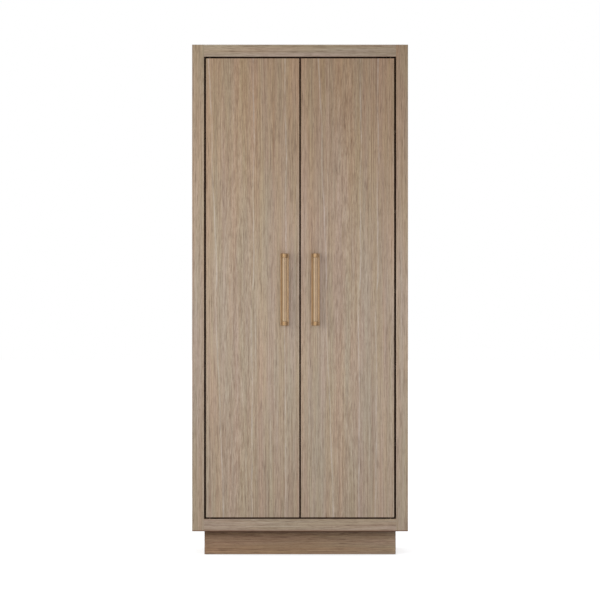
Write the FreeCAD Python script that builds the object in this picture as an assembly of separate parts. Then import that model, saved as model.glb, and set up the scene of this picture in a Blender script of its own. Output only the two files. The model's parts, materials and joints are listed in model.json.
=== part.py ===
import FreeCAD, Part
import math
import os
from FreeCAD import Placement, Rotation, Vector

# Tall two-door storage cabinet in oak with brass bar pulls, in millimetres, +Z up.
# The doors face -Y, and left and right are as seen from the front, so left is -X.
# The origin is on the floor, under the middle of the whole outline, pulls included.

# Case and face frame
case_width = 914.4
case_height = 2061.4
case_depth = 508.0
plinth_reveal = 103.0          # floor to the underside of the case
stile_width = 50.8
top_rail_height = 50.8
bottom_rail_height = 52.9
frame_thickness = 22.0
panel_thickness = 19.0         # sides, top, bottom and fixed shelf
back_thickness = 9.0
back_rebate = 10.0             # how far the back reaches over the sides and the top
edge_easing = 0.6

# Doors and the gaps round them
door_thickness = 20.0
side_gap = 7.6
middle_gap = 6.2
top_gap = 7.2
bottom_gap = 6.2

# Shelves
fixed_shelf_height = 1130.0    # floor to its upper face
shelf_thickness = 19.0
shelf_side_clearance = 1.0
shelf_back_clearance = 2.0
shelf_front_setback = 24.0     # behind the door stops
shelves_per_half = 2
pin_hole_radius = 2.5
pin_hole_depth = 9.0
pin_hole_pitch = 32.0
pin_holes_each_way = 2         # spare holes above and below each pin
pin_row_inset = 37.0           # from a shelf's front and back edges
pin_fit = 0.05
pin_tongue_length = 9.0
pin_tongue_width = 11.0
pin_tongue_thickness = 1.8

# Door stops, bumpers and magnetic catches
stop_thickness = 19.0
stop_swing_clearance = 1.5     # between a stop and the inward swing of a door's hinge edge
top_stop_overlap = 14.0        # how far the stop reaches below the top edge of the doors
bottom_stop_height = 16.0
bumper_radius = 4.0
running_clearance = 0.3
bumper_inset = 30.0            # from a door's free edge
catch_inset = 46.0             # from a door's free edge to the middle of its catch
catch_length = 46.0
catch_height = 14.0
catch_depth = 17.0
magnet_length = 26.0
magnet_height = 7.0
magnet_depth = 9.0
magnet_fit = 0.05
strike_length = 36.0
strike_height = 13.0
strike_thickness = 1.5

# Pivot hinges at the top and bottom of each door
pivot_inset = 15.0             # from the door's hinge edge to the pin
pivot_plate_length = 60.0
pivot_plate_width = 14.0
pivot_plate_thickness = 3.0
pivot_pin_radius = 4.0
pivot_pin_engagement = 15.0    # length of pin inside the door
pivot_running_fit = 0.05
bush_radius = 6.0
bush_fit = 0.05
bush_end_room = 1.0            # space past the end of the pin
bush_flange_radius = 6.9
bush_flange_thickness = 1.5
washer_radius = 6.9
plate_screw_pitch = 18.0
plate_end_margin = 9.0         # from the plate's end to its last screw

# Plinth
plinth_front_setback = 50.8
plinth_back_setback = 25.4
plinth_thickness = 19.0
block_size = 40.0
glide_reveal = 2.5             # how far the glides lift the plinth
glide_radius = 9.0
glide_stud_radius = 2.0
glide_stud_length = 14.0

# Anchor rail for fixing the cabinet to a wall
anchor_rail_height = 90.0
anchor_rail_thickness = 19.0
anchor_spacing = 600.0
anchor_hole_radius = 3.0

# Dowels and screws
dowel_radius = 4.0
dowel_fit = 0.05
dowel_in_side = 12.0
dowel_in_panel = 20.0
dowels_per_joint = 4
frame_dowel_length = 60.0
frame_dowel_spacing = 24.0
screw_head_radius = 3.6
screw_head_height = 2.2
screw_shank_radius = 1.8
screw_fit = 0.04
long_screw = 30.0
short_screw = 16.0
back_screws_per_side = 8
back_screws_per_row = 5

# Pulls
pull_length = 304.8
pull_height = 1127.0           # floor to the middle of the pull
pull_inset = 62.2              # from the door's free edge to the middle of the pull
backplate_width = 35.0
backplate_thickness = 4.0
backplate_corner = 1.5
finger_room = 26.0             # backplate to bar
bar_radius = 9.5
collar_radius = 13.0
collar_length = 17.5
post_radius = 6.5
pull_fit = 0.05
bolt_radius = 2.5
bolt_head_radius = 5.0
bolt_head_height = 3.2
bolt_in_post = 14.0
small_easing = 0.8

cut_past = 1.0                 # how far a cut runs past the face it opens

# Places worked out from the sizes above
pull_projection = backplate_thickness + finger_room + bar_radius + collar_radius
case_front = -(case_depth + pull_projection) / 2 + pull_projection
case_back = case_front + case_depth
frame_back = case_front + frame_thickness
back_face = case_back - back_thickness
door_back = case_front + door_thickness

half_width = case_width / 2
inner_half = half_width - panel_thickness
opening_half = half_width - stile_width

case_bottom = plinth_reveal
case_top = case_bottom + case_height
opening_bottom = case_bottom + bottom_rail_height
opening_top = case_top - top_rail_height
bottom_underside = opening_bottom - panel_thickness
top_underside = case_top - panel_thickness

door_hinge_edge = -opening_half + side_gap
door_free_edge = -middle_gap / 2
door_bottom = opening_bottom + bottom_gap
door_top = opening_top - top_gap
pivot_x = door_hinge_edge + pivot_inset
pivot_y = case_front + door_thickness / 2

hinge_edge_sweep = math.hypot(pivot_inset, door_thickness / 2)
stop_half = -pivot_x - hinge_edge_sweep - stop_swing_clearance
stop_back = frame_back + stop_thickness
shelf_front = stop_back + shelf_front_setback
top_stop_bottom = door_top - top_stop_overlap

UP = Vector(0, 0, 1)
DOWN = Vector(0, 0, -1)
RIGHT = Vector(1, 0, 0)
FRONT = Vector(0, -1, 0)
BACK = Vector(0, 1, 0)


# Small helpers

def box(x, y, z):
    """A block between two values on each axis."""
    corner = Vector(x[0], y[0], z[0])
    return Part.makeBox(x[1] - x[0], y[1] - y[0], z[1] - z[0], corner)


def rod(radius, start, direction, length):
    return Part.makeCylinder(radius, length, start, direction)


def placed(shape, point, out):
    """A copy of a shape made along +Z, turned to point along out and moved to point."""
    copy = shape.copy()
    copy.Placement = Placement(point, Rotation(UP, out))
    return copy


def mirrored(shape):
    """The same piece for the other side of the cabinet."""
    return shape.mirror(Vector(0, 0, 0), RIGHT)


def both_sides(shapes):
    return shapes + [mirrored(shape) for shape in shapes]


def bored(shape, cutters):
    """The shape less each cutter that reaches it."""
    near = [cutter for cutter in cutters if cutter.BoundBox.intersect(shape.BoundBox)]
    if not near:
        return shape
    cut = shape.cut(near)
    return cut.Solids[0] if len(cut.Solids) == 1 else cut


def along(shape, direction):
    """The straight edges of a shape that run along a direction."""
    found = []
    for edge in shape.Edges:
        run = edge.lastVertex().Point - edge.firstVertex().Point
        if run.Length > 0 and run.cross(direction).Length < 1e-6 * run.Length:
            found.append(edge)
    return found


def eased(shape, direction, radius=edge_easing):
    """The shape with its edges along a direction slightly rounded."""
    return shape.makeFillet(radius, along(shape, direction))


def eased_all_round(shape):
    return shape.makeFillet(edge_easing, shape.Edges)


def spread(first, last, count):
    """Evenly spaced values from first to last."""
    step = (last - first) / (count - 1)
    return [first + step * index for index in range(count)]


# Screws and dowels: each maker also makes its own hole when it is grown by a fit

def screw(length, grow=0.0):
    """A countersunk screw whose head is flush with z = 0 and whose point is down."""
    shank_radius = screw_shank_radius + grow
    head_radius = screw_head_radius + grow
    head = Part.makeCone(shank_radius, head_radius, screw_head_height, DOWN * screw_head_height)
    point_length = 2 * screw_shank_radius
    shank = rod(shank_radius, DOWN * (length - point_length), UP, length - point_length)
    tip = Part.makeCone(shank_radius / 4, shank_radius, point_length, DOWN * length)
    body = head.fuse([shank, tip])
    if grow > 0:
        mouth = rod(head_radius, Vector(0, 0, 0), UP, grow)
        return body.fuse(mouth)
    return body.cut(cross_recess()).Solids[0]


def cross_recess():
    """The cross in a screw's head."""
    reach = 0.55 * screw_head_radius
    half = 0.12 * screw_head_radius
    depth = 0.6 * screw_head_height
    bar = box((-reach, reach), (-half, half), (-depth, depth))
    return bar.fuse(box((-half, half), (-reach, reach), (-depth, depth)))


def screws(places, length, grow=0.0):
    return [placed(screw(length, grow), point, out) for point, out in places]


def dowels(places, length, grow=0.0):
    """Dowels that start at a point and run along a direction."""
    shapes = []
    for point, direction in places:
        start = point - direction * grow
        shapes.append(rod(dowel_radius + grow, start, direction, length + 2 * grow))
    return shapes


def case_dowel_places():
    """Dowels that join the top, bottom and fixed shelf to the left side."""
    levels = [case_top - panel_thickness / 2, opening_bottom - panel_thickness / 2]
    levels.append(fixed_shelf_height - panel_thickness / 2)
    margin = 2 * panel_thickness
    rows = spread(frame_back + margin, back_face - margin, dowels_per_joint)
    start = -inner_half - dowel_in_side
    return [(Vector(start, y, z), RIGHT) for z in levels for y in rows]


def frame_dowel_places():
    """Dowels that join the rails to the left stile."""
    places = []
    start = -opening_half - frame_dowel_length / 2
    middle = case_front + frame_thickness / 2
    for centre in (case_top - top_rail_height / 2, case_bottom + bottom_rail_height / 2):
        for offset in (-frame_dowel_spacing / 2, frame_dowel_spacing / 2):
            places.append((Vector(start, middle, centre + offset), RIGHT))
    return places


# Shelf heights and pins

def shelf_levels():
    """The upper faces of the loose shelves, evenly spaced below and above the fixed one."""
    bays = shelves_per_half + 1
    lower = spread(opening_bottom, fixed_shelf_height, bays + 1)[1:-1]
    upper = spread(fixed_shelf_height, top_underside, bays + 1)[1:-1]
    return lower + upper


def shelf_back():
    return back_face - shelf_back_clearance


def pin_rows():
    return (shelf_front + pin_row_inset, shelf_back() - pin_row_inset)


def pin_levels():
    """The pin axis under each loose shelf."""
    return [level - shelf_thickness - pin_hole_radius for level in shelf_levels()]


def pin_holes():
    """Rows of holes in the left side, round the height of each shelf."""
    holes = []
    steps = range(-pin_holes_each_way, pin_holes_each_way + 1)
    for level in pin_levels():
        for step in steps:
            for y in pin_rows():
                start = Vector(-inner_half - pin_hole_depth, y, level + step * pin_hole_pitch)
                holes.append(rod(pin_hole_radius, start, RIGHT, 2 * pin_hole_depth))
    return holes


def shelf_pin(y, level):
    """A pin in the left side, with a flat tongue that the shelf lies on."""
    shank_radius = pin_hole_radius - pin_fit
    reach = pin_hole_depth - 2 * pin_fit
    start = Vector(-inner_half - reach, y, level)
    shank = rod(shank_radius, start, RIGHT, reach + pin_tongue_length)
    top = level + pin_hole_radius
    side = pin_tongue_width / 2
    tongue = box((-inner_half, -inner_half + pin_tongue_length), (y - side, y + side),
                 (top - pin_tongue_thickness, top))
    tongue = eased(tongue, UP, 1.5 * small_easing)
    return shank.fuse(tongue).removeSplitter().Solids[0]


def shelf_pins():
    return [shelf_pin(y, level) for level in pin_levels() for y in pin_rows()]


def loose_shelf(level):
    half = inner_half - shelf_side_clearance
    board = box((-half, half), (shelf_front, shelf_back()), (level - shelf_thickness, level))
    return eased(board, RIGHT)


# Case

def back_pocket():
    """The rebate in the sides and the top that the back lies in."""
    reach = inner_half + back_rebate
    return box((-reach, reach), (back_face, case_back + cut_past),
               (case_bottom - cut_past, top_underside + back_rebate))


def side_panel(cutters):
    board = box((-half_width, -inner_half), (frame_back, case_back), (case_bottom, case_top))
    return bored(eased_all_round(board).cut(back_pocket()), cutters + pin_holes())


def top_panel(cutters):
    board = box((-inner_half, inner_half), (frame_back, case_back), (top_underside, case_top))
    return bored(eased_all_round(board).cut(back_pocket()), cutters)


def bottom_panel(cutters):
    board = box((-inner_half, inner_half), (frame_back, back_face), (bottom_underside, opening_bottom))
    return bored(board, cutters)


def fixed_shelf(cutters):
    height = (fixed_shelf_height - panel_thickness, fixed_shelf_height)
    board = box((-inner_half, inner_half), (shelf_front, back_face), height)
    return bored(eased(board, RIGHT), cutters)


def back_panel(cutters):
    reach = inner_half + back_rebate
    board = box((-reach, reach), (back_face, case_back), (case_bottom, top_underside + back_rebate))
    return bored(board, cutters)


def back_screw_places():
    """Screws through the back into the sides, the anchor rail, the fixed shelf and the bottom."""
    margin = 3 * back_rebate
    heights = spread(case_bottom + margin, top_underside - margin, back_screws_per_side)
    edge = inner_half + back_rebate / 2
    spots = [(x, z) for x in (-edge, edge) for z in heights]
    across = spread(-inner_half + margin, inner_half - margin, back_screws_per_row)
    levels = (top_underside - anchor_rail_height / 4, fixed_shelf_height - panel_thickness / 2,
              opening_bottom - panel_thickness / 2)
    spots += [(x, z) for z in levels for x in across]
    return [(Vector(x, case_back, z), BACK) for x, z in spots]


def anchor_rail(cutters):
    """The board behind the top shelf bay that takes the wall screws."""
    depth = (back_face - anchor_rail_thickness, back_face)
    board = box((-inner_half, inner_half), depth, (top_underside - anchor_rail_height, top_underside))
    return bored(board, cutters)


def anchor_level():
    return top_underside - anchor_rail_height / 2


def anchor_holes():
    """Clear holes through the anchor rail and the back."""
    start = back_face - anchor_rail_thickness - cut_past
    length = anchor_rail_thickness + back_thickness + 2 * cut_past
    spots = (-anchor_spacing / 2, anchor_spacing / 2)
    return [rod(anchor_hole_radius, Vector(x, start, anchor_level()), BACK, length) for x in spots]


# Face frame

def stile(cutters):
    bar = box((-half_width, -opening_half), (case_front, frame_back), (case_bottom, case_top))
    return bored(eased(bar, UP), cutters)


def rail(bottom, top, cutters):
    bar = box((-opening_half, opening_half), (case_front, frame_back), (bottom, top))
    return bored(eased(bar, RIGHT), cutters)


# Door stops, bumpers and catches

def top_stop(cutters):
    """A batten behind the top rail that the doors close against."""
    bar = box((-stop_half, stop_half), (frame_back, stop_back), (top_stop_bottom, top_underside))
    return bored(eased(bar, RIGHT), cutters)


def bottom_stop(cutters):
    """A low strip on the bottom, behind the doors."""
    top = opening_bottom + bottom_stop_height
    bar = box((-stop_half, stop_half), (frame_back, stop_back), (opening_bottom, top))
    return bored(eased(bar, RIGHT), cutters)


def stop_screw_places():
    """Screws down into the bottom, and up into the top from under the batten."""
    middle = (frame_back + stop_back) / 2
    spots = spread(-0.85 * stop_half, 0.85 * stop_half, 4)
    low = [(Vector(x, middle, opening_bottom + bottom_stop_height), UP) for x in spots]
    high = [(Vector(x, frame_back + stop_thickness, top_underside - top_rail_height / 4), BACK)
            for x in spots]
    return low + high


def bumpers():
    """Soft buttons on the stops, just behind the left door."""
    thickness = frame_back - door_back - running_clearance
    x = door_free_edge - bumper_inset
    heights = (door_top - top_stop_overlap / 2,
               (door_bottom + opening_bottom + bottom_stop_height) / 2)
    start = frame_back - thickness
    return [rod(bumper_radius, Vector(x, start, z), BACK, thickness) for z in heights]


def catch_middle():
    return door_free_edge - catch_inset


def catch_front():
    return door_back + strike_thickness + running_clearance


def catch_case(cutters):
    """The plastic body of the left catch, under the top stop."""
    x = catch_middle()
    body = box((x - catch_length / 2, x + catch_length / 2), (catch_front(), catch_front() + catch_depth),
               (top_stop_bottom - catch_height, top_stop_bottom))
    body = eased(body, BACK, small_easing)
    return bored(body, cutters + [magnet(magnet_fit)])


def magnet(grow=0.0):
    """The magnet in the front of the left catch."""
    x = catch_middle()
    level = top_stop_bottom - catch_height / 2
    half = magnet_length / 2 + grow
    rise = magnet_height / 2 + grow
    return box((x - half, x + half), (catch_front(), catch_front() + magnet_depth + grow),
               (level - rise, level + rise))


def catch_screw_places():
    """Screws up through the ends of the left catch into the stop."""
    x = catch_middle()
    offset = (catch_length + magnet_length) / 4
    y = catch_front() + catch_depth / 2
    return [(Vector(x + side * offset, y, top_stop_bottom - catch_height), DOWN) for side in (-1, 1)]


# Pivot hinges, for the left door

def pivot_plate(bottom):
    """A plate let into an edge, round at both ends, with the pin near one end."""
    end = pivot_plate_width / 2
    start = pivot_x - end
    body = box((start, start + pivot_plate_length), (pivot_y - end, pivot_y + end),
               (bottom, bottom + pivot_plate_thickness))
    return eased(body, UP, 0.98 * end)


def plate_screw_places(level, out):
    last = pivot_x - pivot_plate_width / 2 + pivot_plate_length - plate_end_margin
    return [(Vector(x, pivot_y, level), out) for x in (last, last - plate_screw_pitch)]


def case_plate_bottoms():
    return (opening_bottom - pivot_plate_thickness, opening_top)


def door_plate_bottoms():
    return (door_bottom, door_top - pivot_plate_thickness)


def case_plate_screw_places():
    return plate_screw_places(opening_bottom, UP) + plate_screw_places(opening_top, DOWN)


def door_plate_screw_places():
    return plate_screw_places(door_bottom, DOWN) + plate_screw_places(door_top, UP)


def pivot_pins(grow=0.0):
    """The lower and upper pins, which stand in the case plates."""
    radius = pivot_pin_radius + grow
    low = opening_bottom - pivot_plate_thickness
    low_length = pivot_plate_thickness + bottom_gap + pivot_pin_engagement + grow
    high = opening_top + pivot_plate_thickness
    high_length = pivot_plate_thickness + top_gap + pivot_pin_engagement + grow
    return [rod(radius, Vector(pivot_x, pivot_y, low), UP, low_length),
            rod(radius, Vector(pivot_x, pivot_y, high), DOWN, high_length)]


def bush(level, into):
    """A flanged sleeve let into the door, which turns on a pin."""
    depth = pivot_pin_engagement + bush_end_room
    mouth = Vector(pivot_x, pivot_y, level)
    sleeve = rod(bush_radius, mouth, into, depth)
    flange = rod(bush_flange_radius, mouth - into * bush_flange_thickness, into, bush_flange_thickness)
    bore = rod(pivot_pin_radius + pivot_running_fit, mouth - into * bush_flange_thickness, into,
               bush_flange_thickness + depth)
    return sleeve.fuse(flange).removeSplitter().cut(bore).Solids[0]


def bushes():
    return [bush(door_bottom, UP), bush(door_top, DOWN)]


def bush_holes():
    depth = pivot_pin_engagement + bush_end_room
    radius = bush_radius + bush_fit
    return [rod(radius, Vector(pivot_x, pivot_y, door_bottom), UP, depth),
            rod(radius, Vector(pivot_x, pivot_y, door_top), DOWN, depth)]


def thrust_washer():
    """The ring on the lower case plate that the door's flange rides on."""
    height = bottom_gap - bush_flange_thickness - running_clearance
    start = Vector(pivot_x, pivot_y, opening_bottom)
    ring = rod(washer_radius, start, UP, height)
    return ring.cut(rod(pivot_pin_radius + pivot_running_fit, start, UP, height))


# Left door and its pull

def door_panel(cutters):
    panel = box((door_hinge_edge, door_free_edge), (case_front, door_back), (door_bottom, door_top))
    return bored(eased_all_round(panel), cutters)


def strike_plate(cutters):
    """The steel plate on the back of the door that the magnet holds."""
    x = catch_middle()
    level = top_stop_bottom - catch_height / 2
    body = box((x - strike_length / 2, x + strike_length / 2), (door_back, door_back + strike_thickness),
               (level - strike_height / 2, level + strike_height / 2))
    return bored(eased(body, BACK, 2 * small_easing), cutters)


def strike_screw_places():
    x = catch_middle()
    level = top_stop_bottom - catch_height / 2
    return [(Vector(x + side * strike_length / 3, door_back + strike_thickness, level), BACK)
            for side in (-1, 1)]


def pull_x():
    return door_free_edge - pull_inset


def pull_axis():
    return case_front - backplate_thickness - finger_room - bar_radius


def pull_ends():
    return (pull_height - pull_length / 2, pull_height + pull_length / 2)


def post_levels():
    low, high = pull_ends()
    return (low + collar_length / 2, high - collar_length / 2)


def backplate(cutters):
    half = backplate_width / 2
    plate_front = case_front - backplate_thickness
    plate = box((pull_x() - half, pull_x() + half), (plate_front, case_front), pull_ends())
    plate = eased(plate, BACK, backplate_corner)
    rim = [edge for edge in plate.Edges if edge.BoundBox.YMax < plate_front + 1e-6]
    return bored(plate.makeChamfer(small_easing, rim), cutters)


def pull_bar():
    low, high = pull_ends()
    bar = rod(bar_radius, Vector(pull_x(), pull_axis(), low), UP, high - low)
    rims = [edge for edge in bar.Edges if edge.BoundBox.ZLength < 1e-6]
    return bar.makeChamfer(small_easing, rims)


def post(level, grow=0.0):
    """The stub from the backplate into its collar, ending just behind the bar."""
    reach = bar_radius + 2 * pull_fit
    length = case_front - backplate_thickness - pull_axis() - reach
    start = Vector(pull_x(), pull_axis() + reach, level)
    return rod(post_radius + grow, start, BACK, length)


def collar(level):
    """The ring at one end of the bar that holds it on its post."""
    low = Vector(pull_x(), pull_axis(), level - collar_length / 2)
    ring = rod(collar_radius, low, UP, collar_length)
    rims = [edge for edge in ring.Edges if edge.BoundBox.ZLength < 1e-6]
    ring = ring.makeChamfer(small_easing, rims)
    ring = ring.cut(rod(bar_radius + pull_fit, low, UP, collar_length))
    return ring.cut(post(level, pull_fit)).Solids[0]


def bolt(level, grow=0.0):
    """A bolt from inside the door, through the backplate, into a post."""
    length = door_thickness + backplate_thickness + bolt_in_post + grow
    start = Vector(pull_x(), door_back, level)
    shank = rod(bolt_radius + grow, start, FRONT, length)
    if grow > 0:
        return shank
    head = rod(bolt_head_radius, start, BACK, bolt_head_height)
    rim = [edge for edge in head.Edges if edge.BoundBox.YMin > door_back + bolt_head_height - 1e-6]
    head = head.makeFillet(0.4 * bolt_head_height, rim)
    return shank.fuse(head).removeSplitter().Solids[0]


# Plinth

def plinth_half():
    """The plinth lines up with the inner edges of the stiles."""
    return opening_half


def plinth_front_face():
    return case_front + plinth_front_setback


def plinth_back_face():
    return case_back - plinth_back_setback


def plinth_height():
    return (glide_reveal, bottom_underside)


def plinth_long_board(front, cutters):
    board = box((-plinth_half(), plinth_half()), (front, front + plinth_thickness), plinth_height())
    return bored(eased(board, UP), cutters)


def plinth_short_board(middle, cutters):
    """A board that runs from the front board to the back one."""
    half = plinth_thickness / 2
    depth = (plinth_front_face() + plinth_thickness, plinth_back_face() - plinth_thickness)
    return bored(box((middle - half, middle + half), depth, plinth_height()), cutters)


def corner_blocks():
    """Square blocks in the four corners, behind the boards."""
    outer = -plinth_half() + plinth_thickness
    front = plinth_front_face() + plinth_thickness
    back = plinth_back_face() - plinth_thickness
    spans = ((front, front + block_size), (back - block_size, back))
    return both_sides([box((outer, outer + block_size), span, plinth_height()) for span in spans])


def plinth_screw_places():
    """Screws from inside each block through to the boards, seen on no outer face."""
    inner = -plinth_half() + plinth_thickness + block_size
    front = plinth_front_face() + plinth_thickness + block_size / 2
    back = plinth_back_face() - plinth_thickness - block_size / 2
    low, high = plinth_height()
    levels = (low + 0.3 * (high - low), low + 0.7 * (high - low))
    return [(Vector(inner, y, z), RIGHT) for y in (front, back) for z in levels]


def glide_spots():
    """Under the left corners and the ends of the cross rail."""
    corner = -plinth_half() + plinth_thickness / 2
    inset = 1.5 * plinth_thickness + glide_radius
    front = plinth_front_face() + inset
    back = plinth_back_face() - inset
    return [(corner, front), (corner, back), (0, front), (0, back)]


def glide(x, y):
    disc = rod(glide_radius, Vector(x, y, 0), UP, glide_reveal)
    rim = [edge for edge in disc.Edges if edge.BoundBox.ZMax < 1e-6]
    disc = disc.makeChamfer(0.25 * glide_reveal, rim)
    stud = rod(glide_stud_radius, Vector(x, y, glide_reveal), UP, glide_stud_length)
    return disc.fuse(stud).removeSplitter().Solids[0]


def glide_holes(spots):
    radius = glide_stud_radius + screw_fit
    length = glide_stud_length + screw_fit
    return [rod(radius, Vector(x, y, glide_reveal), UP, length) for x, y in spots]


def glides():
    sides = [glide(x, y) for x, y in glide_spots() if x < 0]
    middle = [glide(x, y) for x, y in glide_spots() if x == 0]
    return both_sides(sides) + middle


# Making every piece

def make_case():
    """The panels, frame, plinth and shelves."""
    case_dowel_length = dowel_in_side + dowel_in_panel
    case_dowels = both_sides(dowels(case_dowel_places(), case_dowel_length))
    case_dowel_holes = both_sides(dowels(case_dowel_places(), case_dowel_length, dowel_fit))
    frame_dowels = both_sides(dowels(frame_dowel_places(), frame_dowel_length))
    frame_dowel_holes = both_sides(dowels(frame_dowel_places(), frame_dowel_length, dowel_fit))
    back_holes = screws(back_screw_places(), long_screw, screw_fit)
    stop_holes = screws(stop_screw_places(), long_screw, screw_fit)
    catch_holes = both_sides(screws(catch_screw_places(), long_screw, screw_fit))
    plate_pockets = both_sides([pivot_plate(bottom) for bottom in case_plate_bottoms()])
    plate_holes = both_sides(screws(case_plate_screw_places(), short_screw, screw_fit))

    left_side = side_panel(case_dowel_holes + back_holes)
    left_stile = stile(frame_dowel_holes)
    rail_cutters = frame_dowel_holes + plate_pockets + plate_holes
    parts = {
        "left_side_panel": left_side,
        "right_side_panel": mirrored(left_side),
        "top_panel": top_panel(case_dowel_holes),
        "bottom_panel": bottom_panel(case_dowel_holes + back_holes + stop_holes),
        "fixed_shelf": fixed_shelf(case_dowel_holes + back_holes),
        "back_panel": back_panel(back_holes + anchor_holes()),
        "back_panel_screws": screws(back_screw_places(), long_screw),
        "anchor_rail": anchor_rail(back_holes + anchor_holes()),
        "case_dowels": case_dowels,
        "left_stile": left_stile,
        "right_stile": mirrored(left_stile),
        "top_rail": rail(opening_top, case_top, rail_cutters + stop_holes),
        "bottom_rail": rail(case_bottom, opening_bottom, rail_cutters),
        "frame_dowels": frame_dowels,
        "top_door_stop": top_stop(stop_holes + catch_holes),
        "bottom_door_stop": bottom_stop(stop_holes),
        "door_stop_screws": screws(stop_screw_places(), long_screw),
        "door_bumpers": both_sides(bumpers()),
        "magnet_cases": both_sides([catch_case(catch_holes)]),
        "magnets": both_sides([magnet()]),
        "magnet_case_screws": both_sides(screws(catch_screw_places(), long_screw)),
        "shelf_pins": both_sides(shelf_pins()),
    }
    for number, level in enumerate(shelf_levels(), start=1):
        parts[f"loose_shelf_{number}"] = loose_shelf(level)
    return parts


def make_case_pivots():
    """The plates, pins and washers that stay on the case."""
    pin_holes_in_plates = pivot_pins(pivot_running_fit)
    plate_holes = screws(case_plate_screw_places(), short_screw, screw_fit)
    plates = [bored(pivot_plate(bottom), pin_holes_in_plates + plate_holes)
              for bottom in case_plate_bottoms()]
    return {
        "case_pivot_plates": both_sides(plates),
        "case_pivot_screws": both_sides(screws(case_plate_screw_places(), short_screw)),
        "pivot_pins": both_sides(pivot_pins()),
        "thrust_washers": both_sides([thrust_washer()]),
    }


def make_plinth():
    front = plinth_front_face()
    back = plinth_back_face() - plinth_thickness
    side = -plinth_half() + plinth_thickness / 2
    holes = screws(plinth_screw_places(), long_screw + block_size / 2, screw_fit)
    stud_holes = glide_holes(glide_spots())
    left_board = plinth_short_board(side, holes + stud_holes)
    blocks = [bored(block, both_sides(holes)) for block in corner_blocks()]
    return {
        "plinth_front": plinth_long_board(front, []),
        "plinth_back": plinth_long_board(back, []),
        "plinth_left": left_board,
        "plinth_right": mirrored(left_board),
        "plinth_cross_rail": plinth_short_board(0, stud_holes),
        "plinth_corner_blocks": blocks,
        "plinth_screws": both_sides(screws(plinth_screw_places(), long_screw + block_size / 2)),
        "floor_glides": glides(),
    }


def make_left_door():
    """The pieces that swing with the left door, by their plain names."""
    plate_holes = screws(door_plate_screw_places(), short_screw, screw_fit)
    strike_holes = screws(strike_screw_places(), short_screw, screw_fit)
    bolt_holes = [bolt(level, screw_fit) for level in post_levels()]
    plates = [pivot_plate(bottom) for bottom in door_plate_bottoms()]
    panel_cutters = plates + plate_holes + strike_holes + bolt_holes + bush_holes()
    return {
        "door_panel": door_panel(panel_cutters),
        "door_pivot_plates": [bored(plate, plate_holes + bush_holes()) for plate in plates],
        "door_pivot_screws": screws(door_plate_screw_places(), short_screw),
        "pivot_bushes": bushes(),
        "strike_plate": strike_plate(strike_holes),
        "strike_screws": screws(strike_screw_places(), short_screw),
        "pull_backplate": backplate(bolt_holes),
        "pull_bar": pull_bar(),
        "pull_posts": [bored(post(level), bolt_holes) for level in post_levels()],
        "pull_collars": [collar(level) for level in post_levels()],
        "pull_bolts": [bolt(level) for level in post_levels()],
    }


def make_doors():
    parts = {}
    for name, made in make_left_door().items():
        shapes = made if isinstance(made, list) else [made]
        parts[f"left_{name}"] = shapes
        parts[f"right_{name}"] = [mirrored(shape) for shape in shapes]
    return parts


def write(parts):
    os.makedirs("parts", exist_ok=True)
    for name, made in parts.items():
        shapes = made if isinstance(made, list) else [made]
        solids = [solid for shape in shapes for solid in shape.Solids]
        whole = solids[0] if len(solids) == 1 else Part.makeCompound(solids)
        whole.exportStep(f"parts/{name}.step")
        print(name, len(solids), "solids", round(whole.Volume), "mm3")


write({**make_case(), **make_case_pivots(), **make_plinth(), **make_doors()})
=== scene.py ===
import json
import bpy
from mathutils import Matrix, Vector


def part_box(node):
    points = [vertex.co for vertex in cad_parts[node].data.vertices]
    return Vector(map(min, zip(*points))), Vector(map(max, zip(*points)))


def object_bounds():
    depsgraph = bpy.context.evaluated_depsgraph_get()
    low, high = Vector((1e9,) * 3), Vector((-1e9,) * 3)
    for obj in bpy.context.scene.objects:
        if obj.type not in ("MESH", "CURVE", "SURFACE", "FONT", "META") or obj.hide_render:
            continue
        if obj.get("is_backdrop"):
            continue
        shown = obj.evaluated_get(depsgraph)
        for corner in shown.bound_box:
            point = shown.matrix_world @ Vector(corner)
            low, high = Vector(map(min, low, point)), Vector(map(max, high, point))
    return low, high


# Looks of the tall oak cabinet with brass bar pulls, dressed on its frame.
# Metres, +Z up, the doors face -Y, left is -X as seen from the front.

START_OBJECTS = ("Cube", "Light", "Camera")
MILLIMETRE = 0.001
PLAIN_WHITE = (1, 1, 1, 1)

# Camera: the photograph is square and the case front fills a known share of it
LENS = 0.200
SENSOR = 0.036
CAMERA_DISTANCE = 14.117        # to the plane of the case front
CAMERA_HEIGHT = 1.0829
CAMERA_SIDE = -0.0003
LEVEL = 1.5707963               # turned up from straight down, in radians
VIEW_REACH = 200.0

# Floor and room
FLOOR_HALF = 45.0
FLOOR_COLOUR = (0.61, 0.635, 0.66, 1)
FLOOR_GLOW = 0.68               # beside the cabinet, where the floor takes its shadow
SHADOW_REACH = 4.5              # from the cabinet, where the floor has turned plain white
ROOM_COLOUR = (1.0, 0.89, 0.81, 1)
ROOM_LIGHT = 0.455


def clear_start_scene():
    """Takes away what Blender opens with."""
    for name in START_OBJECTS:
        if name in bpy.data.objects:
            bpy.data.objects.remove(bpy.data.objects[name])


clear_start_scene()
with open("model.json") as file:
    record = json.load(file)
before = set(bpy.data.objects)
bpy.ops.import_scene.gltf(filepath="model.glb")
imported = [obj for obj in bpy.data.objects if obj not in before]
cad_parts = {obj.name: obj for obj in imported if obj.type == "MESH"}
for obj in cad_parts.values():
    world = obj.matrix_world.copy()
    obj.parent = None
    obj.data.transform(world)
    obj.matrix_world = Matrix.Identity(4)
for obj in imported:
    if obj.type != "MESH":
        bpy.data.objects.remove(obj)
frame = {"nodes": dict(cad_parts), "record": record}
nodes = frame["nodes"]
cad_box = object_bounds()


# Camera

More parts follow.
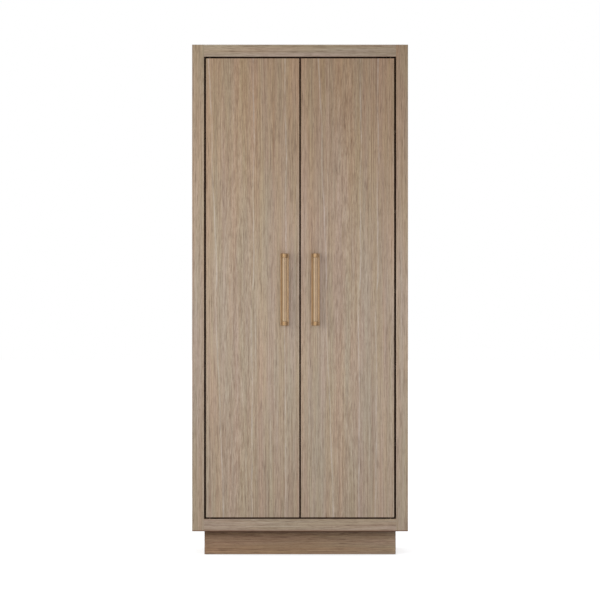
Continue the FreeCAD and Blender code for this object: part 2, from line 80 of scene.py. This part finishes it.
def make_camera():
    """A long lens level with the middle of the cabinet, looking along +Y."""
    case_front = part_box("left_stile")[0].y
    data = bpy.data.cameras.new("camera")
    data.lens = LENS / MILLIMETRE
    data.sensor_width = SENSOR / MILLIMETRE
    data.clip_end = VIEW_REACH
    camera = bpy.data.objects.new("camera", data)
    camera.location = (CAMERA_SIDE, case_front - CAMERA_DISTANCE, CAMERA_HEIGHT)
    camera.rotation_euler = (LEVEL, 0.0, 0.0)
    bpy.context.scene.collection.objects.link(camera)
    bpy.context.scene.camera = camera


# Node graphs

def srgb(red, green, blue):
    """A colour given as 0 to 255 per channel, as the linear colour that shaders take."""
    channels = [value / 255 for value in (red, green, blue)]
    linear = [value / 12.92 if value <= 0.04045 else ((value + 0.055) / 1.055) ** 2.4 for value in channels]
    return (*linear, 1.0)


class Graph:
    """Fills a node tree: each method adds a node and returns the output that is used."""

    def __init__(self, tree):
        self.tree = tree
        tree.nodes.clear()

    def add(self, kind, inputs=(), **settings):
        node = self.tree.nodes.new("ShaderNode" + kind)
        for key, value in settings.items():
            setattr(node, key, value)
        for key, value in dict(inputs).items():
            self.feed(node.inputs[key], value)
        return node

    def feed(self, socket, value):
        if isinstance(value, bpy.types.NodeSocket):
            self.tree.links.new(value, socket)
        else:
            socket.default_value = value

    def place(self):
        """Where a point lies on the piece, in metres."""
        return self.add("TexCoord").outputs["Object"]

    def math(self, operation, first, second=0.0, third=0.0):
        return self.add("Math", {0: first, 1: second, 2: third}, operation=operation).outputs[0]

    def vector(self, operation, first, second=(0, 0, 0)):
        node = self.add("VectorMath", {0: first, 1: second}, operation=operation)
        return node.outputs["Value" if operation in ("LENGTH", "DOT_PRODUCT") else "Vector"]

    def parts(self, vector):
        """The three coordinates of a vector, as numbers."""
        return self.add("SeparateXYZ", {0: vector}).outputs

    def noise(self, where, scale=1.0, detail=2.0, roughness=0.5, output="Factor"):
        inputs = {"Vector": where, "Scale": scale, "Detail": detail, "Roughness": roughness}
        node = self.add("TexNoise", inputs)
        return node.outputs[0 if output == "Factor" else 1]

    def noise_line(self, value, scale, detail=2.0, roughness=0.5):
        """Noise along one number."""
        inputs = {"W": value, "Scale": scale, "Detail": detail, "Roughness": roughness}
        return self.add("TexNoise", inputs, noise_dimensions="1D").outputs[0]

    def spread(self, value, low, high, to_low=0.0, to_high=1.0):
        """The value from one range stretched to another, and held at its ends."""
        inputs = {0: value, 1: low, 2: high, 3: to_low, 4: to_high}
        return self.add("MapRange", inputs).outputs[0]

    def channels(self, colour):
        """The red, green and blue shares of a colour, as three numbers."""
        return self.add("SeparateColor", {0: colour}).outputs

    def ramp(self, value, stops):
        node = self.add("ValToRGB", {0: value})
        points = node.color_ramp.elements
        while len(points) < len(stops):
            points.new(0.5)
        for point, (position, colour) in zip(points, stops):
            point.position = position
            point.color = colour
        return node.outputs[0]

    def mix(self, share, first, second, kind="MIX"):
        """Two colours mixed. A Mix node has its colours on inputs 6 and 7 and gives theirs on output 2."""
        node = self.add("Mix", data_type="RGBA", blend_type=kind)
        self.feed(node.inputs[0], share)
        self.feed(node.inputs[6], first)
        self.feed(node.inputs[7], second)
        return node.outputs[2]

    def tint(self, colour, by):
        """A colour multiplied by another."""
        return self.mix(1.0, colour, by, "MULTIPLY")

    def bump(self, height, distance, strength=1.0):
        return self.add("Bump", {"Height": height, "Distance": distance, "Strength": strength}).outputs[0]

    def surface(self, **inputs):
        """The piece's shader, with each input named as its socket is, spaces as underscores."""
        named = {key.replace("_", " "): value for key, value in inputs.items()}
        shader = self.add("BsdfPrincipled", named)
        self.output(shader.outputs[0])

    def output(self, shader):
        self.add("OutputMaterial", {"Surface": shader})


def new_material(name):
    material = bpy.data.materials.new(name)
    material.use_nodes = True
    return material, Graph(material.node_tree)


# Oak

AXES = "XYZ"
# The last colour of each palette is painted shade, for corners, faces by the gaps and lines under the case
PALE = {
    "pore": srgb(98, 76, 59), "shade": srgb(138, 115, 94),
    "middle": srgb(176, 156, 135), "light": srgb(200, 182, 162),
    "edge": srgb(103, 61, 38),
}
# Darker and warmer than the pale oak, partly as painted shade from the case above
PLINTH = {
    "pore": srgb(86, 61, 44), "shade": srgb(129, 101, 78),
    "middle": srgb(165, 135, 108), "light": srgb(194, 164, 135),
    "edge": srgb(70, 46, 30),
}
# Near-black stain for the door stops, partly standing in as painted shade in the gaps
STAINED = {
    "pore": srgb(20, 12, 8), "shade": srgb(36, 23, 15),
    "middle": srgb(54, 37, 25), "light": srgb(72, 52, 38),
    "edge": srgb(20, 12, 8),
}
PALETTES = {"oak_plinth": PLINTH, "stained_oak": STAINED}    # by material slot; all other oak is pale
TONE_STOPS = ((0.20, "shade"), (0.52, "middle"), (0.90, "light"))

# What slow changes of hue multiply the colour by
OLIVE = (0.975, 1.011, 0.975, 1)
PINK = (1.030, 0.986, 1.0, 1)
COOL = (0.975, 1.0, 1.04, 1)
WARM = (1.02, 1.0, 0.945, 1)

# Painted light and shade: what a board's colour is multiplied by at the far end of its grain axis, and from
# its middle to the near end, for slow changes of light across the boards
PAINTED_LIGHT_DRIFTS = {
    "left_door_panel": ((1.02, 0.935, 0.86, 1), (0.975, 0.97, 0.98, 1)),
    "right_door_panel": ((1.00, 0.905, 0.83, 1), (0.985, 0.98, 0.99, 1)),
    "left_stile": ((1.06, 1.07, 1.05, 1), (0.94, 0.945, 0.975, 1)),
    "right_stile": ((1.01, 0.945, 0.88, 1), (1.03, 1.035, 1.045, 1)),
    "top_rail": ((1.05, 1.06, 1.09, 1), (1.09, 1.12, 1.17, 1)),
    "bottom_rail": ((0.98, 0.975, 1.01, 1), (0.95, 0.94, 0.965, 1)),
    "plinth_front": ((1.07, 1.16, 1.26, 1), (0.96, 0.955, 0.95, 1)),
}

# Noise in the wood: changes per metre across and along the grain, detail and roughness
STREAKS = (330.0, 1.4, 3.0, 0.65)
FLECKS = (440.0, 30.0, 2.0, 0.6)
DASHES = (360.0, 16.0, 1.0)
PORES = (1500.0, 60.0, 1.0)
HUES = (26.0, 1.2, 4.0, 0.65)
# Noise on the rings: changes per metre out from the heart, detail and roughness
BANDS = (36.0, 1.0)
THREADS = (260.0, 2.0, 0.6)
TICKS_OUTWARDS = 210.0
TICKS_ALONG = 12.0
TICKS_ROUGHNESS = 0.6
# Bends of the grain: changes per metre across and along it, and reach in metres
HEART_BENDS = ((1.2, 0.7, 0.06), (12.0, 2.5, 0.012))
FIBRE_BEND = (7.0, 5.0, 0.011)

# How much of the tone each layer gives, and how much is then taken off
BAND_SHARE = 0.08
THREAD_SHARE = 0.28
TICK_SHARE = 0.20
STREAK_SHARE = 0.94
FLECK_SHARE = 0.68
TONE_OFFSET = 0.25
# The span of a noise over which its marks fade in, and how strong they are
DASH_SPAN = (0.55, 0.68)
DASH_DEPTH = 0.42
PORE_SPAN = (0.58, 0.70)
PORE_DEPTH = 0.40
HUE_SPAN = (0.38, 0.62)
FLAT_SAWN = (0.02, 0.11, 1.0, 0.25)     # metres off the heart, and how much the grain wanders there
SEED_STEP = (1.37, 2.11, 0.73)          # metres between one board's noise and the next one's
OAK_GLOSS = (0.55, 0.95, 0.72, 0.62)    # tones, and the roughness that each gets
OAK_SPECULAR = 0.25
OAK_RELIEF = 0.00015
OAK_RELIEF_STRENGTH = 0.5

# Thin light lines: where they start and end, as shares of the board's width, at its top and at its bottom
PALE_LINES = {
    "left_door_panel": ((0.03, 0.19), (0.51, 0.49), (0.85, 0.85)),
    "right_door_panel": ((0.19, 0.35), (0.64, 0.62), (0.83, 0.80)),
}
PALE_LINE = srgb(214, 203, 192)
LINE_SWAY = 0.030
LINE_HALF = (0.0006, 0.0045)            # metres from the line's middle, full and gone
LINE_FADE = (0.35, 0.65, 0.08, 0.42)    # span of the noise, and the strengths that it gives

# Boards with painted shade along their corners and on their narrow faces by the gaps: 0 for all of them, else
# the side of the board next to the doors
PAINTED_SHADE_SIDES = {
    "left_door_panel": 0, "right_door_panel": 0,
    "left_stile": 1, "right_stile": -1, "top_rail": -1, "bottom_rail": 1,
}
PAINTED_SHADE_DEPTH = 0.82
CORNER_REACH = (0.0002, 0.0013)         # metres in from a corner, full and gone
GAP_FACE_REACH = (0.0001, 0.0005)
GAP_FACE_SHARE = 0.6
JOINT_BLUR = 0.0005
# Painted shadow in lines along the underside of the case: how far from it they are full and gone, and their
# strength
UNDERSIDE_SHADOW = (0.003, 0.006, 0.7)
PLINTH_TOP_SHADOW = (0.005, 0.0085, 0.8)
PAINTED_SHADOW_LINES = {
    "bottom_rail": UNDERSIDE_SHADOW, "left_stile": UNDERSIDE_SHADOW, "right_stile": UNDERSIDE_SHADOW,
    "left_side_panel": UNDERSIDE_SHADOW, "right_side_panel": UNDERSIDE_SHADOW,
    "plinth_front": PLINTH_TOP_SHADOW, "plinth_back": PLINTH_TOP_SHADOW,
    "plinth_left": PLINTH_TOP_SHADOW, "plinth_right": PLINTH_TOP_SHADOW,
}

# Grain axis, the heart's place across the board as a share of its width and behind it in metres, lean, seed
OAK_PIECES = {
    "left_door_panel": ("Z", -0.17, 0.050, -0.022, 1),
    "right_door_panel": ("Z", -0.02, 0.050, -0.022, 2),
    "left_stile": ("Z", 2.5, 0.10, 0.0, 3),
    "right_stile": ("Z", -2.5, 0.10, 0.0, 4),
    "top_rail": ("X", 2.0, 0.10, 0.0, 25),
    "bottom_rail": ("X", 1.5, 0.12, 0.0, 26),
    "left_side_panel": ("Z", 0.1, 0.07, 0.04, 7),
    "right_side_panel": ("Z", -0.1, -0.07, 0.04, 8),
    "top_panel": ("X", 0.1, -0.06, 0.05, 9),
    "bottom_panel": ("X", 0.0, -0.06, 0.05, 10),
    "fixed_shelf": ("X", 0.2, -0.05, 0.05, 11),
    "back_panel": ("Z", 0.2, -0.07, 0.04, 12),
    "anchor_rail": ("X", 1.5, 0.10, 0.0, 13),
    "top_door_stop": ("X", 1.5, 0.10, 0.0, 14),
    "bottom_door_stop": ("X", 1.5, 0.10, 0.0, 15),
    "plinth_front": ("X", 0.4, 0.05, 0.03, 16),
    "plinth_back": ("X", 0.4, -0.05, 0.03, 17),
    "plinth_left": ("Y", 0.4, 0.05, 0.03, 18),
    "plinth_right": ("Y", 0.4, -0.05, 0.03, 19),
    "loose_shelf_1": ("X", 0.1, -0.05, 0.05, 20),
    "loose_shelf_2": ("X", -0.1, -0.05, 0.05, 21),
    "loose_shelf_3": ("X", 0.3, -0.05, 0.05, 22),
    "loose_shelf_4": ("X", -0.3, -0.05, 0.05, 23),
}


def along_grain(axis, cross, length):
    """One number across the grain and another along it, as a vector."""
    return tuple(length if name == axis else cross for name in AXES)


def board_of(node, axis):
    """A board's middle and half size, and which of the three axes run along, across and through it."""
    low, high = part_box(node)
    half = (high - low) / 2
    along = AXES.index(axis)
    through, across = sorted((index for index in range(3) if index != along), key=lambda index: half[index])
    return (low + high) / 2, half, along, across, through


def pale_lines(graph, lines, place, middle, half, along, across):
    """Thin light lines that run the length of a board, each swaying a little and fading here and there."""
    spots = graph.parts(graph.vector("SUBTRACT", place, tuple(middle)))
    for count, (top, bottom) in enumerate(lines):
        start = (top + bottom - 1) * half[across]
        slope = (top - bottom) * half[across] / half[along]
        track = graph.math("MULTIPLY_ADD", spots[along], slope, start)
        # Each line has its own noise.
        swaying = graph.noise_line(spots[along], 2.2 + 0.3 * count)
        sway = graph.math("MULTIPLY_ADD", swaying, LINE_SWAY, -LINE_SWAY / 2)
        away = graph.math("ABSOLUTE", graph.math("SUBTRACT", spots[across], graph.math("ADD", track, sway)))
        strength = graph.spread(graph.noise_line(spots[along], 5.0 + count, 3.0, 0.6), *LINE_FADE)
        yield graph.math("MULTIPLY", graph.spread(away, *LINE_HALF, 1.0, 0.0), strength)


def painted_corner_shade(graph, place, middle, half, along, across, through, side):
    """Painted shade: 1 along a board's open corners, falling to 0 a little way in, and less on narrow faces
    by a gap.
    """
    off = graph.vector("SUBTRACT", place, tuple(middle))
    inside = graph.parts(graph.vector("SUBTRACT", tuple(half), graph.vector("ABSOLUTE", off)))
    gap = narrow = graph.math("MINIMUM", inside[along], inside[across])
    if side:
        # A frame member gets painted shade on the side of the opening, and none where a stile and a rail
        # meet.
        gap = graph.math("MULTIPLY_ADD", graph.parts(off)[across], -side, half[across])
        narrow = graph.math("MULTIPLY_ADD", graph.parts(off)[across], side, half[across])
        if along == AXES.index("Z"):
            low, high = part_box("top_rail")
            rail = (high - low).z
            beside_rail = graph.spread(inside[along], rail - JOINT_BLUR, rail + JOINT_BLUR, 1.0, 0.0)
            gap = graph.math("ADD", gap, beside_rail)
            narrow = graph.math("MINIMUM", narrow, inside[along])
        narrow = graph.math("MINIMUM", narrow, gap)
    corner = graph.spread(graph.math("ADD", inside[through], narrow), *CORNER_REACH, 1.0, 0.0)
    if side is None:
        return corner
    return graph.math("MAXIMUM", corner, graph.spread(gap, *GAP_FACE_REACH, GAP_FACE_SHARE, 0.0))


def oak(node, axis, shift, depth, lean, seed, palette):
    """Matt oak: rings round a leaning, wandering heart, fine streaks, and pores along the grain, with painted
    light and shade on some boards.
    """
    middle, half, along, across, through = board_of(node, axis)
    heart = middle.copy()
    heart[across] += shift * 2 * half[across]
    heart[through] += depth
    leaning = tuple(lean if index == through else 0.0 for index in range(3))
    material, graph = new_material("oak_" + node)
    place = graph.place()
    moved = graph.vector("ADD", place, tuple(seed * step for step in SEED_STEP))

    def stretched(start, cross, length, detail=2.0, roughness=0.5, output="Factor"):
        where = graph.vector("MULTIPLY", start, along_grain(axis, cross, length))
        return graph.noise(where, 1.0, detail, roughness, output)

    def bend(cross, length, reach):
        noise = stretched(moved, cross, length, output="Colour")
        centred = graph.vector("SUBTRACT", noise, (0.5, 0.5, 0.5))
        return graph.vector("MULTIPLY", centred, along_grain(axis, reach, 0.0))

    off_heart = graph.vector("SUBTRACT", place, tuple(heart))
    height = graph.vector("DOT_PRODUCT", off_heart, along_grain(axis, 0.0, 1.0))
    from_heart = graph.vector("MULTIPLY", off_heart, along_grain(axis, 1.0, 0.0))
    from_heart = graph.vector("ADD", from_heart, graph.vector("MULTIPLY", height, leaning))
    for heart_bend in HEART_BENDS:
        from_heart = graph.vector("ADD", from_heart, bend(*heart_bend))
    ring = graph.vector("LENGTH", from_heart)

    bands = graph.noise_line(ring, *BANDS)
    threads = graph.noise_line(ring, *THREADS)
    outwards = graph.math("MULTIPLY", ring, TICKS_OUTWARDS)
    lengthwise = graph.math("MULTIPLY", height, TICKS_ALONG)
    on_rings = graph.add("CombineXYZ", {0: outwards, 1: lengthwise}).outputs[0]
    ticks = graph.noise(on_rings, roughness=TICKS_ROUGHNESS)
    flat = graph.spread(graph.math("ABSOLUTE", graph.parts(from_heart)[across]), *FLAT_SAWN)
    fibre = graph.vector("ADD", moved, graph.vector("MULTIPLY", bend(*FIBRE_BEND), flat))
    streaks = stretched(fibre, *STREAKS)
    flecks = graph.math("MULTIPLY", graph.math("SUBTRACT", stretched(fibre, *FLECKS), 0.5), flat)
    dashes = graph.spread(stretched(fibre, *DASHES), *DASH_SPAN)
    pores = graph.spread(stretched(fibre, *PORES), *PORE_SPAN)

    tone = graph.math("MULTIPLY", bands, BAND_SHARE)
    layers = ((threads, THREAD_SHARE), (ticks, TICK_SHARE), (streaks, STREAK_SHARE), (flecks, FLECK_SHARE))
    for layer, share in layers:
        tone = graph.math("MULTIPLY_ADD", layer, share, tone)
    stops = [(position, palette[name]) for position, name in TONE_STOPS]
    figure = graph.ramp(graph.math("SUBTRACT", tone, TONE_OFFSET), stops)
    hue = graph.channels(stretched(moved, *HUES, "Colour"))
    tinted = graph.tint(figure, graph.mix(graph.spread(hue[0], *HUE_SPAN), OLIVE, PINK))
    tinted = graph.tint(tinted, graph.mix(graph.spread(hue[1], *HUE_SPAN), COOL, WARM))
    # Painted light and shade: a slow change of colour along the board
    if node in PAINTED_LIGHT_DRIFTS:
        far, near = PAINTED_LIGHT_DRIFTS[node]
        tinted = graph.tint(tinted, graph.mix(graph.spread(height, 0.0, half[along]), near, far))
    dashed = graph.mix(graph.math("MULTIPLY", dashes, DASH_DEPTH), tinted, palette["pore"])
    for line in pale_lines(graph, PALE_LINES.get(node, ()), place, middle, half, along, across):
        dashed = graph.mix(line, dashed, PALE_LINE)
    pored = graph.mix(graph.math("MULTIPLY", pores, PORE_DEPTH), dashed, palette["pore"])
    # Painted shade along corners and on faces by the gaps, and painted shadow in lines under the case
    edge = painted_corner_shade(graph, place, middle, half, along, across, through, PAINTED_SHADE_SIDES.get(node))
    edge = graph.math("MULTIPLY", edge, PAINTED_SHADE_DEPTH)
    # Painted shadow in a band along the underside of the case
    if node in PAINTED_SHADOW_LINES:
        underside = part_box("bottom_rail")[0].z
        above = graph.math("SUBTRACT", graph.parts(place)[AXES.index("Z")], underside)
        away = graph.math("ABSOLUTE", above)
        edge = graph.math("MAXIMUM", edge, graph.spread(away, *PAINTED_SHADOW_LINES[node], 0.0))
    colour = graph.mix(edge, pored, palette["edge"])
    relief = graph.math("MULTIPLY_ADD", pores, -1.0, streaks)
    graph.surface(Base_Color=colour, Roughness=graph.spread(tone, *OAK_GLOSS),
                  Normal=graph.bump(relief, OAK_RELIEF, OAK_RELIEF_STRENGTH),
                  Specular_IOR_Level=OAK_SPECULAR)
    return material


# Beech, with the grain axis of each piece

BEECH_PIECES = {
    "plinth_cross_rail": "Y", "plinth_corner_blocks": "Z",
    "case_dowels": "X", "frame_dowels": "X",
}
BEECH_DARK = srgb(196, 160, 122)
BEECH_LIGHT = srgb(216, 184, 146)
BEECH_RAY = srgb(150, 112, 80)
BEECH_CLOUDS = (60.0, 5.0)              # changes per metre across and along the grain
BEECH_RAYS = (900.0, 160.0)


def beech(name, axis):
    """Bare beech: even and warm, with short dark rays along the grain."""
    material, graph = new_material(name)
    place = graph.place()
    cloud = graph.noise(graph.vector("MULTIPLY", place, along_grain(axis, *BEECH_CLOUDS)), detail=3.0)
    rays = graph.noise(graph.vector("MULTIPLY", place, along_grain(axis, *BEECH_RAYS)), detail=1.0)
    ray = graph.spread(rays, 0.58, 0.68)
    body = graph.mix(graph.spread(cloud, 0.3, 0.7), BEECH_DARK, BEECH_LIGHT)
    colour = graph.mix(graph.math("MULTIPLY", ray, 0.5), body, BEECH_RAY)
    graph.surface(Base_Color=colour, Roughness=graph.spread(cloud, 0.3, 0.7, 0.62, 0.74),
                  Normal=graph.bump(ray, 0.0001, -0.4), Specular_IOR_Level=0.35)
    return material


# Metals

# Name, brush axis, colour, the colour where worn, and roughness, by material slot
METALS = {
    "nickel_steel": ("nickel", "X", srgb(196, 194, 188), srgb(180, 178, 172), 0.32),
    "bronzed_steel": ("bronzed", "X", srgb(70, 58, 46), srgb(56, 46, 36), 0.42),
    "zinc_steel": ("zinc", "Z", srgb(188, 190, 190), srgb(170, 172, 168), 0.42),
}
# The same for the pulls, and how metallic their brass is; the collars' darker brass is painted shade at the
# ends of the bar
PULL_BRASS = {
    "bar": ("brass", "Z", srgb(180, 154, 124), srgb(172, 145, 116), 0.55, 0.5),
    "collars": ("brass_collar", "X", srgb(144, 116, 86), srgb(132, 105, 75), 0.42, 1.0),
    "backplate": ("brass_plate", "Z", srgb(160, 134, 105), srgb(151, 125, 96), 0.5, 1.0),
}
# Painted shade on the pulls: what the brass is multiplied by across each piece, from its left side at 0 to
# its right side at 1
PULL_PAINTED_SHADE = {
    "bar": (
        (0.12, (0.92, 0.92, 0.92, 1)), (0.26, (0.96, 0.96, 0.96, 1)), (0.46, (0.53, 0.51, 0.49, 1)),
        (0.60, (0.62, 0.60, 0.57, 1)), (0.70, (0.91, 0.88, 0.83, 1)), (0.88, PLAIN_WHITE),
    ),
    "collars": (
        (0.16, PLAIN_WHITE), (0.34, (0.92, 0.92, 0.92, 1)), (0.50, (0.92, 0.92, 0.92, 1)),
        (0.64, (0.70, 0.69, 0.68, 1)), (0.84, PLAIN_WHITE),
    ),
    "backplate": (
        (0.03, (1, 0.95, 0.88, 1)), (0.07, (0.68, 0.61, 0.50, 1)), (0.20, (0.78, 0.72, 0.62, 1)),
        (0.30, (0.9, 0.9, 0.9, 1)), (0.90, (0.80, 0.77, 0.72, 1)), (0.98, (0.76, 0.69, 0.58, 1)),
    ),
}
BRUSHING = (2600.0, 30.0)       # changes per metre across and along the scratches
BRUSH_ROUGHNESS = 0.16
BRUSH_DEPTH = 0.00004


def metal(name, axis, colour, worn, roughness, metallic=1.0, across=None):
    """Brushed metal: fine scratches along an axis over slow clouds of tone. A pull also gets painted shade
    across it.
    """
    material, graph = new_material(name)
    place = graph.place()
    scratch = graph.noise(graph.vector("MULTIPLY", place, along_grain(axis, *BRUSHING)))
    cloud = graph.noise(place, 45.0, 3.0)
    tone = graph.mix(graph.spread(cloud, 0.35, 0.7), colour, worn)
    # Painted shade across a pull
    if across:
        middle, reach, stops = across
        side = graph.parts(place)[0]
        off = graph.math("MULTIPLY_ADD", graph.math("SIGN", side), -middle, side)
        tone = graph.tint(tone, graph.ramp(graph.spread(off, -reach, reach), stops))
    rough = graph.math("MULTIPLY_ADD", scratch, BRUSH_ROUGHNESS, roughness - BRUSH_ROUGHNESS / 2)
    graph.surface(Base_Color=tone, Metallic=metallic, Roughness=rough,
                  Normal=graph.bump(scratch, BRUSH_DEPTH, 0.35))
    return material


def brasses():
    """Aged brass for the pulls: the bar, its collars darkened as painted shade, and the plates, each with
    painted shade across it.
    """
    low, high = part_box("right_pull_bar")
    middle = (low.x + high.x) / 2
    made = {}
    for part, look in PULL_BRASS.items():
        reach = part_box("right_pull_" + part)[1].x - middle
        made[part] = metal(*look, (middle, reach, PULL_PAINTED_SHADE[part]))
    return made


# Plastics and rubber

# Two colours, roughness, changes of the texture per metre and its depth, by material slot
MOULDED = {
    "nylon": (srgb(226, 224, 214), srgb(216, 213, 202), 0.5, 900.0, 0.00005),
    "black_nylon": (srgb(34, 33, 32), srgb(42, 40, 38), 0.5, 900.0, 0.00005),
    "brown_plastic": (srgb(92, 70, 54), srgb(80, 60, 46), 0.55, 1500.0, 0.0001),
    "clear_rubber": (srgb(206, 204, 196), srgb(192, 190, 182), 0.45, 700.0, 0.00003),
    "ferrite": (srgb(52, 52, 54), srgb(66, 64, 64), 0.6, 2200.0, 0.0001),
}
CLOUD_ROUGHNESS = 0.15


def moulded(name, colour, second, roughness, grain, depth):
    """A moulded piece with a fine texture and a slow change of tone."""
    material, graph = new_material(name)
    place = graph.place()
    texture = graph.noise(place, grain, 2.0, 0.6)
    cloud = graph.noise(place, 30.0, 2.0)
    rough = graph.math("MULTIPLY_ADD", cloud, CLOUD_ROUGHNESS, roughness - CLOUD_ROUGHNESS / 2)
    graph.surface(Base_Color=graph.mix(graph.spread(cloud, 0.35, 0.65), colour, second), Roughness=rough,
                  Normal=graph.bump(texture, depth, 0.6))
    return material


def finish_nodes():
    """Gives each piece of the cabinet its finish."""
    slots = {piece["node"]: piece["material_slot"] for piece in frame["record"]["subparts"]}
    finish = {}
    for node, cut in OAK_PIECES.items():
        finish[node] = oak(node, *cut, PALETTES.get(slots[node], PALE))
    for node, axis in BEECH_PIECES.items():
        finish[node] = beech("beech_" + node, axis)
    brass = brasses()
    for side in ("left", "right"):
        for part, material in brass.items():
            finish[side + "_pull_" + part] = material
    shared = {"brass": brass["bar"]}
    for slot, look in METALS.items():
        shared[slot] = metal(*look)
    for slot, look in MOULDED.items():
        shared[slot] = moulded(slot, *look)
    for node, item in nodes.items():
        item.material_slots[0].material = finish.get(node) or shared[slots[node]]


# Floor, light and background

def seen_share(graph):
    """1 for rays that show the surroundings: from the camera, in gloss or through glass."""
    path = graph.add("LightPath")
    seen = graph.math("MAXIMUM", path.outputs["Is Camera Ray"], path.outputs["Is Glossy Ray"])
    return graph.math("MAXIMUM", seen, path.outputs["Is Transmission Ray"])


def make_floor():
    """A plain pale floor that shows white and keeps the cabinet's shadow."""
    mesh = bpy.data.meshes.new("floor")
    corners = [(-FLOOR_HALF, -FLOOR_HALF, 0), (FLOOR_HALF, -FLOOR_HALF, 0),
               (FLOOR_HALF, FLOOR_HALF, 0), (-FLOOR_HALF, FLOOR_HALF, 0)]
    mesh.from_pydata(corners, [], [(0, 1, 2, 3)])
    floor = bpy.data.objects.new("floor", mesh)
    bpy.context.scene.collection.objects.link(floor)
    material, graph = new_material("floor")
    seen = seen_share(graph)
    plain = graph.add("BsdfDiffuse", {"Color": FLOOR_COLOUR}).outputs[0]
    away = graph.vector("LENGTH", graph.place())
    level = graph.spread(away, SHADOW_REACH / 3, SHADOW_REACH, FLOOR_GLOW, 1.0)
    glow = graph.add("Emission", {"Color": PLAIN_WHITE, "Strength": level}).outputs[0]
    white = graph.add("AddShader", {0: plain, 1: glow}).outputs[0]
    graph.output(graph.add("MixShader", {0: seen, 1: plain, 2: white}).outputs[0])
    mesh.materials.append(material)
    floor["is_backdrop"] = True


def make_world():
    """An even, slightly warm room light, seen as plain white."""
    world = bpy.data.worlds.new("studio")
    world.use_nodes = True
    graph = Graph(world.node_tree)
    seen = seen_share(graph)
    room = graph.add("Background", {"Color": ROOM_COLOUR, "Strength": ROOM_LIGHT}).outputs[0]
    white = graph.add("Background", {"Color": PLAIN_WHITE, "Strength": 1.0}).outputs[0]
    mixed = graph.add("MixShader", {0: seen, 1: room, 2: white}).outputs[0]
    graph.add("OutputWorld", {"Surface": mixed})
    bpy.context.scene.world = world


# Soft square lamps: place, the point aimed at, size, power in watts and colour
LAMPS = {
    "left": ((-1.5, -1.6, 1.4), (-0.15, -0.2, 1.35), 1.6, 20.5, (0.94, 1.0, 0.985)),
    "front": ((0.3, -1.7, 0.95), (0.1, -0.2, 0.95), 1.0, 10.3, (0.81, 0.88, 1.0)),
    "left_side": ((-3.4, 1.2, 1.6), (-0.3, 0.1, 1.1), 2.0, 30, (0.84, 0.93, 1.0)),
    "right_side": ((3.4, 1.2, 1.6), (0.3, 0.1, 1.1), 2.0, 33, (0.84, 0.93, 1.0)),
    "back": ((0.4, 3.8, 1.8), (0.0, 0.3, 1.2), 2.4, 33, (0.84, 0.93, 1.0)),
    "above": ((0.0, 1.0, 5.0), (0.0, 0.1, 2.1), 2.0, 24, (0.84, 0.93, 1.0)),
}


def make_lamps():
    for name, (place, target, size, power, colour) in LAMPS.items():
        data = bpy.data.lights.new(name, "AREA")
        data.shape = "SQUARE"
        data.size = size
        data.energy = power
        data.color = colour
        lamp = bpy.data.objects.new(name, data)
        lamp.location = place
        aim = Vector(target) - Vector(place)
        lamp.rotation_euler = aim.to_track_quat("-Z", "Y").to_euler()
        lamp.visible_camera = False
        bpy.context.scene.collection.objects.link(lamp)


bpy.context.scene.view_settings.view_transform = "Standard"
make_camera()
make_world()
make_floor()
make_lamps()
finish_nodes()

boxes = {"cad": cad_box, "visual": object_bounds()}
{name: [list(corner) for corner in box] for name, box in boxes.items()}
